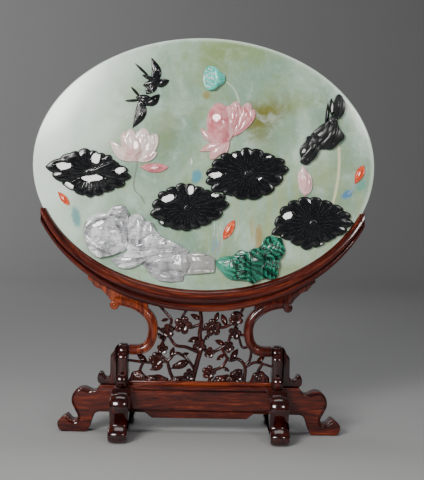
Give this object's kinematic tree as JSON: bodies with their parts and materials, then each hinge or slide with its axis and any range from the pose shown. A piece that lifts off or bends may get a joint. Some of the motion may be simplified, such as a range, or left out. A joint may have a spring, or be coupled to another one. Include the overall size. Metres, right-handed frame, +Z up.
{
  "type": "jade plaque on stand",
  "caption": "Oval jade plaque with a lotus pond in applied carved stones, resting in a carved hardwood table stand with scrolled feet.",
  "frame": {"origin": "on the floor, under the middle of the stand", "axes": "+X to the viewer's right along the plaque, -Y towards the viewer (the carved front), +Z up"},
  "size_m": [0.34, 0.128, 0.3932],
  "materials": {
    "celadon_jade": "polished, cloudy pale grey-green with veins",
    "black_stone": "highly polished, near black with pale veins",
    "pale_quartz": "polished, pale and slightly pink",
    "rose_quartz": "polished, cloudy pink",
    "turquoise": "satin blue-green",
    "grey_marble": "polished, grey with white streaks",
    "malachite": "polished, banded green",
    "coral": "satin orange-red",
    "hardwood": "glossy dark red-brown lacquered wood"
  },
  "bodies": {
    "root": {"base_rail": "hardwood", "coral_bud_left": "coral", "coral_bud_middle": "coral", "coral_bud_right": "coral", "cradle": "hardwood", "cross_foot_left": "hardwood", "cross_foot_right": "hardwood", "flower_bud": "rose_quartz", "flower_pale": "pale_quartz", "flower_pale_petal": "rose_quartz", "flower_pink": "rose_quartz", "jade_panel": "celadon_jade", "leaf_folded": "black_stone", "leaf_left": "black_stone", "leaf_middle": "black_stone", "leaf_right": "black_stone", "leaf_upper": "black_stone", "malachite_rock": "malachite", "openwork_panel": "hardwood", "post_left": "hardwood", "post_right": "hardwood", "rock_boulder": "grey_marble", "rock_ridge": "grey_marble", "rock_slab": "grey_marble", "scroll_bracket_left": "hardwood", "scroll_bracket_right": "hardwood", "seed_pod": "turquoise", "standing_bracket_left_back": "hardwood", "standing_bracket_left_front": "hardwood", "standing_bracket_left_outer": "hardwood", "standing_bracket_right_back": "hardwood", "standing_bracket_right_front": "hardwood", "standing_bracket_right_outer": "hardwood", "swallow_lower": "black_stone", "swallow_upper": "black_stone"}
  },
  "joints": []
}
